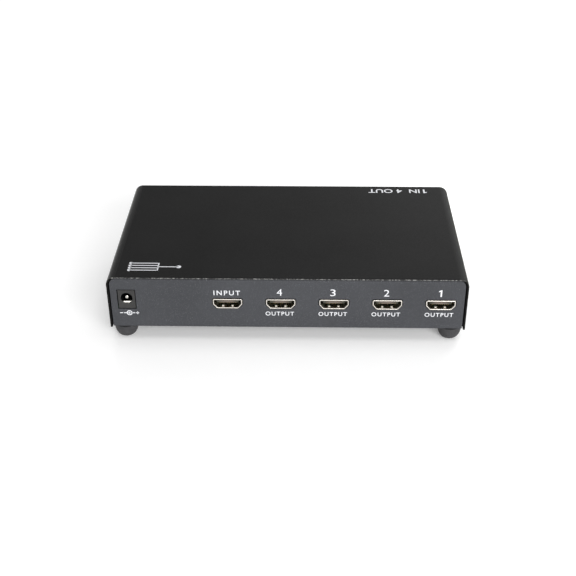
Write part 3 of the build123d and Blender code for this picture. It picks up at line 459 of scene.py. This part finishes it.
def leaf_metal(name, colour, deep_shade):
    """Bright metal near the panel's face, with painted shade deeper in."""
    shader = Shader(name)
    # Painted shade deeper in.
    shader.colour(shader.short_of(shader.along("Y"), REAR_FACE, LEAF_DEPTH, deep_shade, colour))
    shader.line_skin(0.2, 0.32, ALONG_Y)
    shader.set(Metallic=1.0)
    return shader.material


def shell_metal(name, socket, rim, inside):
    """Bright plated steel at the mouth, with painted shade inside the tube and painted glints on the crests
    of the floor's springs.
    """
    shader = Shader(name)
    dull = shader.noise(TARNISH_SIZE, detail=3)
    plated = shader.ramp(dull, tint(rim, 0.93), rim, start=0.35, end=0.6)
    depth = shader.along("Y")
    # Painted shade inside the tube.
    tube = shader.short_of(depth, SOCKET_MOUTH, TUBE_DEPTH, inside, plated)
    reach = shader.away(shader.away(shader.along("X"), socket.x), SPRING_REACH)
    across = shader.within(reach, SPRING_HALF)
    crest = shader.within(shader.away(depth, SOCKET_MOUTH - CREST_DEPTH), CREST_HALF)
    low = shader.short_of(shader.along("Z"), socket.z, SPRING_LOW, 1, 0)
    # A painted glint on each spring's crest: a pale, hardly metallic spot.
    crest_glint = shader.both(shader.both(across, crest), low)
    shader.colour(shader.ramp(crest_glint, tube, rim, start=0, end=1))
    shader.link(shader.ramp(crest_glint, 1, 0.1, start=0, end=1), shader.surface.inputs["Metallic"])
    shader.line_skin(0.24, 0.36, ALONG_Y)
    return shader.material


def tongue_plastic(name, socket, tip, deep_shade):
    """Moulded plastic: pale in the middle of the tongue, with painted shade at its sides and in what lies
    deeper.
    """
    shader = Shader(name)
    near = shader.short_of(shader.along("Y"), SOCKET_MOUTH, TONGUE_DEPTH, 0, 1)
    across = shader.within(shader.away(shader.along("X"), socket.x), TONGUE_HALF, 1, 0.2)
    # Painted shade at the tongue's sides and deeper in.
    shader.colour(shader.ramp(shader.both(near, across), deep_shade, tip, start=0, end=1))
    shader.mould_skin(0.4, 0.55)
    shader.set(Specular_IOR_Level=0.3)
    return shader.material


def milky_lens(name, centre, low, high):
    """A milky lamp lens, paler in its upper half: a painted highlight."""
    shader = Shader(name)
    height = shader.along("Z")
    # A painted highlight makes the upper half paler.
    shader.colour(shader.ramp(height, low, high, start=centre.z - LENS_HALF, end=centre.z + LENS_HALF))
    shader.lens_skin()
    shader.set(Roughness=0.22, Subsurface_Weight=0.25, Subsurface_Scale=1 * MM, Coat_Weight=0.4)
    return shader.material


def ringed_lens(name, centre, core, ring):
    """A clear lamp lens with a painted reflection: dark in its core with a pale ring round it."""
    shader = Shader(name)
    # A painted reflection: a pale ring round a dark core.
    shader.colour(shader.within(shader.from_axis(centre), LENS_RING, core, ring))
    shader.lens_skin()
    shader.set(Roughness=0.3, Coat_Weight=0.2)
    return shader.material


def circuit_board(name):
    """Green solder mask over faint copper tracks, with a scatter of plated holes."""
    shader = Shader(name)
    green = (0.012, 0.085, 0.032)
    track = (0.03, 0.17, 0.06)
    copper = (0.62, 0.5, 0.28)
    weave = shader.node("ShaderNodeTexBrick", offset=0.5, squash=1.0)
    weave.inputs["Scale"].default_value = 1 / TRACK_PITCH
    weave.inputs["Mortar Size"].default_value = 0.035
    weave.inputs["Color1"].default_value = (0, 0, 0, 1)
    weave.inputs["Color2"].default_value = (0, 0, 0, 1)
    weave.inputs["Mortar"].default_value = (1, 1, 1, 1)
    shader.link(shader.place, weave.inputs["Vector"])
    tracks = shader.ramp(weave.outputs["Fac"], green, track, start=0, end=1)
    holes = shader.cells(HOLE_PITCH)
    shader.colour(shader.ramp(holes, copper, tracks, start=0.09, end=0.1))
    shader.bump(weave.outputs["Fac"], TRACK_DEPTH, strength=0.5)
    shader.set(Roughness=0.3, Coat_Weight=0.3)
    return shader.material


def ceramic(name, body, tin):
    """Small ceramic chips with flecks of tin from their ends."""
    shader = Shader(name)
    grain = shader.noise(CHIP_GRAIN, detail=3)
    shader.colour(shader.ramp(grain, body, tin, start=0.55, end=0.62))
    shader.bump(grain, CHIP_DEPTH, strength=0.4)
    shader.set(Roughness=0.45)
    return shader.material


def ink(name, colour):
    """Screen-printed ink, a little uneven where it is thin."""
    shader = Shader(name)
    thin = shader.noise(INK_GRAIN, detail=3)
    shader.colour(shader.ramp(thin, tint(colour, 0.86), colour, start=0.3, end=0.5))
    shader.bump(thin, INK_DEPTH, strength=0.4)
    shader.set(Roughness=0.55, Specular_IOR_Level=0.3)
    return shader.material


# Colours and materials

# The panels are coloured paler than the cover: painted light on the upright panels, which face the lamps,
# and painted shade on the cover's top.
COVER_BLACK = (0.0115, 0.0115, 0.0115)
PANEL_BLACK = (0.059, 0.061, 0.067)
# Painted shade for the cut walls of the panels' holes.
CUT_WALL_SHADE = (0.008, 0.008, 0.008)
# The paler band on the cover's cut edges and its dots of painted glints.
EDGE_BLACK = (0.045, 0.045, 0.045)
EDGE_GLINT = (0.3, 0.3, 0.29)
# A painted highlight on the cover's bends.
BEND_GLEAM = (0.05, 0.05, 0.045)
BLACK_PLASTIC = (0.018, 0.018, 0.02)
BUTTON_FACE = (0.055, 0.057, 0.062)
SHELL_RIM = (0.93, 0.88, 0.81)
# Painted shade inside the sockets' tubes.
SHELL_INSIDE_SHADE = (0.5, 0.47, 0.38)
TONGUE_TIP = (0.17, 0.14, 0.12)
# Painted shade for the tongues' sides and depths.
TONGUE_SHADE = (0.04, 0.046, 0.032)

MATERIALS = {
    "black_powder_coat": panel_coat("panel_powder_coat", PANEL_BLACK, 0.2, CUT_WALL_SHADE),
    "black_rubber": rubber("foot_rubber", (0.046, 0.045, 0.048)),
    "adhesive_film": moulded("adhesive_film", (0.02, 0.02, 0.02), 0.6),
    "black_screw": metal("black_oxide_steel", (0.06, 0.06, 0.065), 0.42),
    "zinc_steel": metal("zinc_plated_steel", (0.66, 0.66, 0.63), 0.3),
    "green_board": circuit_board("green_solder_mask"),
    "gold_contact": metal("gold_plated_contact", (0.9, 0.68, 0.3), 0.22, lines=(1, 0.1, 1)),
    "black_plastic": moulded("black_plastic", BLACK_PLASTIC, 0.35),
    "button_plastic": button_skin("button_plastic", BUTTON_FACE, (0.01, 0.01, 0.01)),
    "plated_brass": metal("nickel_plated_brass", (0.78, 0.76, 0.7), 0.2),
    "lamp_white": milky_lens("port_lamp_lens", middle("port_led_1"), (0.3, 0.3, 0.32), (0.85, 0.86, 0.9)),
    "lamp_blue": ringed_lens("power_lamp_lens", middle("power_led"), (0.09, 0.1, 0.12), (0.3, 0.33, 0.42)),
    "tinned_copper": metal("tinned_copper", (0.72, 0.71, 0.68), 0.3),
    "white_plastic": moulded("white_plastic", (0.72, 0.7, 0.62), 0.45),
    "tan_laminate": moulded("tan_laminate", (0.27, 0.15, 0.06), 0.6),
    "spring_steel": metal("spring_steel", (0.6, 0.6, 0.6), 0.22),
    "chip_epoxy": moulded("chip_epoxy", (0.016, 0.016, 0.017), 0.55),
    "grey_thermal_pad": rubber("thermal_pad", (0.28, 0.31, 0.35)),
    "black_aluminium": metal("black_anodised_aluminium", (0.035, 0.035, 0.04), 0.4, lines=(1, 0.1, 1)),
    "bright_aluminium": metal("bright_aluminium_can", (0.75, 0.75, 0.77), 0.24, lines=(1, 1, 0.1)),
    "grey_ferrite": moulded("ferrite", (0.045, 0.045, 0.048), 0.7),
    "ceramic_tan": ceramic("ceramic_chip", (0.35, 0.22, 0.11), (0.6, 0.58, 0.54)),
    "resistor_black": ceramic("resistor_chip", (0.012, 0.012, 0.015), (0.55, 0.55, 0.53)),
}
# Nodes that look unlike the rest of their slot, and the sockets, whose looks follow their own middles
OWN_MATERIALS = {
    "top_cover": cover_coat("cover_powder_coat", COVER_BLACK, 0.03, BEND_GLEAM, EDGE_BLACK, EDGE_GLINT),
    "dc_jack_body": faced(
        "inlet_plastic", REAR_FACE, INLET_FACE_DEPTH, (0.041, 0.0405, 0.0395), (0.006, 0.006, 0.006)
    ),
    "dc_jack_spring_contact": leaf_metal("inlet_leaf", (0.78, 0.76, 0.7), (0.1, 0.095, 0.08)),
}
for socket in SOCKETS:
    opening = middle(f"{socket}_insulator")
    opening.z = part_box(f"{socket}_insulator")[1].z - SOCKET_OPENING / 2
    steel = shell_metal(f"{socket}_plated_shell", opening, SHELL_RIM, SHELL_INSIDE_SHADE)
    plastic = tongue_plastic(f"{socket}_tongue", opening, TONGUE_TIP, TONGUE_SHADE)
    OWN_MATERIALS[f"{socket}_shell"] = steel
    OWN_MATERIALS[f"{socket}_insulator"] = plastic
WHITE_INK = ink("white_ink", (0.86, 0.87, 0.9))
GREY_INK = ink("grey_ink", (0.7, 0.71, 0.74))


def dress_frame():
    """Gives every frame node its own material, or else the material of its slot."""
    for entry in frame["record"]["subparts"]:
        name = entry["node"]
        node = nodes[name]
        node.data.materials.clear()
        node.data.materials.append(OWN_MATERIALS.get(name) or MATERIALS[entry["material_slot"]])


def make_return_spring():
    """The button's return spring as a piece of its own."""
    node = nodes["power_switch_spring"]
    piece = bpy.data.objects.new("return_spring", node.data.copy())
    bpy.context.scene.collection.objects.link(piece)
    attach(piece, "case")
    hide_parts("power_switch_spring")
    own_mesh(piece)


# Printing

# Each face's directions to the right and up, as its print is read
FACES = {
    "rear": (Vector((-1, 0, 0)), Vector((0, 0, 1))),
    "front": (Vector((1, 0, 0)), Vector((0, 0, 1))),
    "top": (Vector((1, 0, 0)), Vector((0, 1, 0))),
}


def printed(name, mesh, face, centre, material=WHITE_INK):
    """Lays a flat mesh, drawn in X and Y about its middle, on a face of the case as a film of ink."""
    across, up = FACES[face]
    out = across.cross(up)
    turn = Matrix((across, up, out)).transposed().to_4x4()
    low = min(vertex.co.z for vertex in mesh.vertices)
    for vertex in mesh.vertices:
        vertex.co.z = INK_LIFT + (INK_THICKNESS if vertex.co.z > low + INK_THICKNESS / 2 else 0)
    piece = bpy.data.objects.new(name, mesh)
    bpy.context.scene.collection.objects.link(piece)
    mesh.transform(Matrix.Translation(centre) @ turn)
    mesh.materials.clear()
    mesh.materials.append(material)
    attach(piece, "case")


def lettering(name, words, face, centre, size, material=WHITE_INK, bold=BOLD, spacing=1.0):
    """Printed characters stretched to a width and a height."""
    width, height = size
    curve = bpy.data.curves.new(name, "FONT")
    curve.body = words
    curve.align_x = "CENTER"
    curve.offset = bold
    curve.space_character = spacing
    curve.extrude = LETTER_DEPTH
    holder = bpy.data.objects.new(name + ".curve", curve)
    bpy.context.scene.collection.objects.link(holder)
    bpy.context.view_layer.update()
    mesh = bpy.data.meshes.new_from_object(holder.evaluated_get(bpy.context.evaluated_depsgraph_get()))
    mesh.name = name
    bpy.data.objects.remove(holder)
    points = [vertex.co for vertex in mesh.vertices]
    low = Vector((min(p.x for p in points), min(p.y for p in points), 0))
    high = Vector((max(p.x for p in points), max(p.y for p in points), 0))
    drawn_size = high - low
    stretch = Matrix.Diagonal((width / drawn_size.x, height / drawn_size.y, 1, 1))
    mesh.transform(stretch @ Matrix.Translation(-(low + high) / 2))
    printed(name, mesh, face, centre, material)


def bar(start, end, width):
    """The corners of a straight bar."""
    start, end = Vector(start), Vector(end)
    along = (end - start).normalized()
    side = Vector((-along.y, along.x)) * width / 2
    return [start + side, start - side, end - side, end + side]


def digit_one(width, height, stem):
    """The corners of a 1 with its flag, about its middle."""
    right = width / 2
    left = right - stem
    top = height / 2
    brow = top - 0.17 * height
    corners = [(left, -top), (right, -top), (right, top), (left + 0.2 * stem, top)]
    corners += [(-right, brow), (-right, brow - 0.6 * stem), (left, brow - 0.35 * stem)]
    return [Vector(corner) for corner in corners]


def circle(place, radius):
    """Corners in a circle about a place."""
    turns = [2 * math.pi * step / RING_STEPS for step in range(RING_STEPS)]
    return [Vector((place[0] + radius * math.cos(a), place[1] + radius * math.sin(a))) for a in turns]


def wall(shape, first, second):
    """A closed band of faces between two rows of as many vertices."""
    for step in range(len(first)):
        before = step - 1
        shape.faces.new([first[before], first[step], second[step], second[before]])


def drawn(name, shapes, rings, face, centre, material=WHITE_INK):
    """Printed line work: shapes as lists of corners, rings as (middle, outer, inner radius)."""
    shape = bmesh.new()

    def rows(corners):
        """New vertices at the corners, low and high."""
        return [[shape.verts.new((p.x, p.y, height)) for p in corners] for height in (0, 1)]

    discs = [circle(place, outer) for place, outer, inner in rings if inner == 0]
    for corners in shapes + discs:
        low, high = rows(corners)
        shape.faces.new(low)
        shape.faces.new(high)
        wall(shape, low, high)
    for place, outer, inner in rings:
        if inner > 0:
            low_out, high_out = rows(circle(place, outer))
            low_in, high_in = rows(circle(place, inner))
            wall(shape, low_out, high_out)
            wall(shape, high_out, high_in)
            wall(shape, high_in, low_in)
            wall(shape, low_in, low_out)
    bmesh.ops.recalc_face_normals(shape, faces=shape.faces[:])
    mesh = bpy.data.meshes.new(name)
    shape.to_mesh(mesh)
    shape.free()
    printed(name, mesh, face, centre, material)


def number(name, digit, face, centre, size, material=WHITE_INK):
    """A plain number, with the 1 drawn so that it has a flag. The 1 is narrower than the rest."""
    width, height, stem = size
    if digit == 1:
        drawn(name, [digit_one(ONE_WIDTH * width, height, stem)], [], face, centre, material)
        return
    lettering(name, str(digit), face, centre, (width, height), material, bold=0)


def beside(node, face_y, place):
    """A place on a panel, given as a shift in X from a node's middle and a height above the underside."""
    shift, height = place
    return Vector((middle(node).x + shift, face_y, UNDERSIDE + height))


def print_rear():
    """Numbers and words at the sockets, and a polarity sign under the power inlet."""
    for digit in (1, 2, 3, 4):
        shell = f"video_out_{digit}_shell"
        above = beside(shell, REAR_FACE, REAR_NUMBER_AT)
        number(f"rear_number_{digit}", digit, "rear", above, REAR_NUMBER)
        under = beside(shell, REAR_FACE, OUTPUT_LABEL_AT)
        lettering(f"output_label_{digit}", "OUTPUT", "rear", under, OUTPUT_LABEL, spacing=1.2)
    above = beside("video_in_shell", REAR_FACE, INPUT_LABEL_AT)
    lettering("input_label", "INPUT", "rear", above, INPUT_LABEL, spacing=1.3)

    line = 0.5 * MM
    ring = 1.5 * MM
    dot = 0.6 * MM
    arm = 2.9 * MM
    sign_place = 4.15 * MM
    sign = 0.8 * MM
    bars = [
        bar((-arm, 0), (-ring, 0), line),
        bar((0, 0), (arm, 0), line),
        bar((-sign_place - sign, 0), (-sign_place + sign, 0), line),
        bar((sign_place - sign, 0), (sign_place + sign, 0), line),
        bar((sign_place, -sign), (sign_place, sign), line),
    ]
    rings = [((0, 0), ring, ring - line), ((0, 0), dot, 0)]
    under = beside("dc_jack_body", REAR_FACE, POLARITY_SIGN_AT)
    drawn("polarity_sign", bars, rings, "rear", under)


def print_front():
    """A number under each port lamp, and a label under the button."""
    for digit in (1, 2, 3, 4):
        under = beside(f"port_led_{digit}", FRONT_FACE, FRONT_NUMBER_AT)
        number(f"front_number_{digit}", digit, "front", under, FRONT_NUMBER)
    under = beside("power_button_cap", FRONT_FACE, BUTTON_LABEL_AT)
    lettering("button_label", "ON / OFF", "front", under, BUTTON_LABEL)


def print_top():
    """A plain one-to-four branching sign at the rear, and plain words at the front."""
    line = 0.65 * MM
    root_dot = 1.3 * MM
    end_dot = 0.95 * MM
    root = (-13.6 * MM, 0)
    fork_x = -3.0 * MM
    end_x = 11.5 * MM
    rows = [(-3.45 + 2.3 * row) * MM for row in range(4)]
    bars = [
        bar(root, (fork_x, 0), line),
        bar((fork_x, rows[0] - line / 2), (fork_x, rows[3] + line / 2), line),
    ]
    bars += [bar((fork_x, row), (end_x, row), line) for row in rows]
    rings = [(root, root_dot, 0)] + [((end_x, row), end_dot, 0) for row in rows]
    sign_at = Vector((*BRANCHING_SIGN_AT, COVER_TOP))
    drawn("branching_sign", bars, rings, "top", sign_at, GREY_INK)
    one_at = Vector((TOP_NUMBER_X, TOP_WORDS_Y, COVER_TOP))
    number("top_number", 1, "top", one_at, TOP_NUMBER, GREY_INK)
    words_at = Vector((TOP_WORDS_X, TOP_WORDS_Y, COVER_TOP))
    lettering("top_words", "IN  4 OUT", "top", words_at, TOP_WORDS, GREY_INK)


# Studio


def make_camera():
    """The camera, high on the sockets' side."""
    camera = bpy.data.objects.new("camera", bpy.data.cameras.new("camera"))
    camera.data.lens = LENS_MM
    camera.data.sensor_width = SENSOR_MM
    camera.data.sensor_fit = "HORIZONTAL"
    camera.data.clip_start = 10 * MM
    turn = (
        Matrix.Rotation(CAMERA_HEADING, 4, "Z")
        @ Matrix.Rotation(math.pi / 2 - CAMERA_PITCH, 4, "X")
        @ Matrix.Rotation(CAMERA_ROLL, 4, "Z")
    )
    camera.matrix_world = Matrix.Translation(CAMERA_PLACE) @ turn
    bpy.context.scene.collection.objects.link(camera)
    bpy.context.scene.camera = camera


def make_light(name, place, size, watts):
    """A soft box at a place, turned towards the middle of the object."""
    lamp = bpy.data.lights.new(name, "AREA")
    lamp.shape = "RECTANGLE"
    lamp.size, lamp.size_y = size
    lamp.energy = watts
    box = bpy.data.objects.new(name, lamp)
    box.location = place
    box.rotation_euler = (AIM - Vector(place)).to_track_quat("-Z", "Y").to_euler()
    bpy.context.scene.collection.objects.link(box)


def make_studio():
    """A pale floor that runs to the horizon, soft boxes, and a white surround for what is seen."""
    floor_mesh = bpy.data.meshes.new("floor")
    reach = FLOOR_REACH
    corners = [(-reach, -reach, 0), (reach, -reach, 0), (reach, reach, 0), (-reach, reach, 0)]
    floor_mesh.from_pydata(corners, [], [(0, 1, 2, 3)])
    floor = bpy.data.objects.new("floor", floor_mesh)
    bpy.context.scene.collection.objects.link(floor)
    shader = Shader("floor")
    shader.set(Base_Color=FLOOR_COLOUR, Roughness=0.35, Specular_IOR_Level=0.5)
    seen = shader.node("ShaderNodeLightPath").outputs["Is Camera Ray"]
    glow = shader.node("ShaderNodeEmission")
    glow.inputs["Strength"].default_value = FLOOR_GLOW
    both = shader.node("ShaderNodeAddShader")
    pick = shader.node("ShaderNodeMixShader")
    shader.link(shader.surface.outputs["BSDF"], both.inputs[0])
    shader.link(glow.outputs["Emission"], both.inputs[1])
    shader.link(seen, pick.inputs[0])
    shader.link(shader.surface.outputs["BSDF"], pick.inputs[1])
    shader.link(both.outputs[0], pick.inputs[2])
    shader.link(pick.outputs[0], shader.tree.nodes["Material Output"].inputs["Surface"])
    floor_mesh.materials.append(shader.material)

    world = bpy.data.worlds.new("studio")
    bpy.context.scene.world = world
    world.use_nodes = True
    tree = world.node_tree
    back = tree.nodes["Background"]
    paths = tree.nodes.new("ShaderNodeLightPath")
    first = tree.nodes.new("ShaderNodeMath")
    second = tree.nodes.new("ShaderNodeMath")
    level = tree.nodes.new("ShaderNodeMapRange")
    first.operation = second.operation = "MAXIMUM"
    tree.links.new(paths.outputs["Is Camera Ray"], first.inputs[0])
    tree.links.new(paths.outputs["Is Glossy Ray"], first.inputs[1])
    tree.links.new(first.outputs[0], second.inputs[0])
    tree.links.new(paths.outputs["Is Transmission Ray"], second.inputs[1])
    tree.links.new(second.outputs[0], level.inputs["Value"])
    level.inputs["To Min"].default_value = SURROUND_LIGHT
    level.inputs["To Max"].default_value = SURROUND_SEEN
    tree.links.new(level.outputs["Result"], back.inputs["Strength"])
    back.inputs["Color"].default_value = (1, 1, 1, 1)

    for name, (place, size, watts) in LIGHTS.items():
        make_light(name, place, size, watts)


bpy.context.scene.view_settings.view_transform = "Standard"
make_camera()
make_studio()
dress_frame()
make_return_spring()
print_rear()
print_front()
print_top()
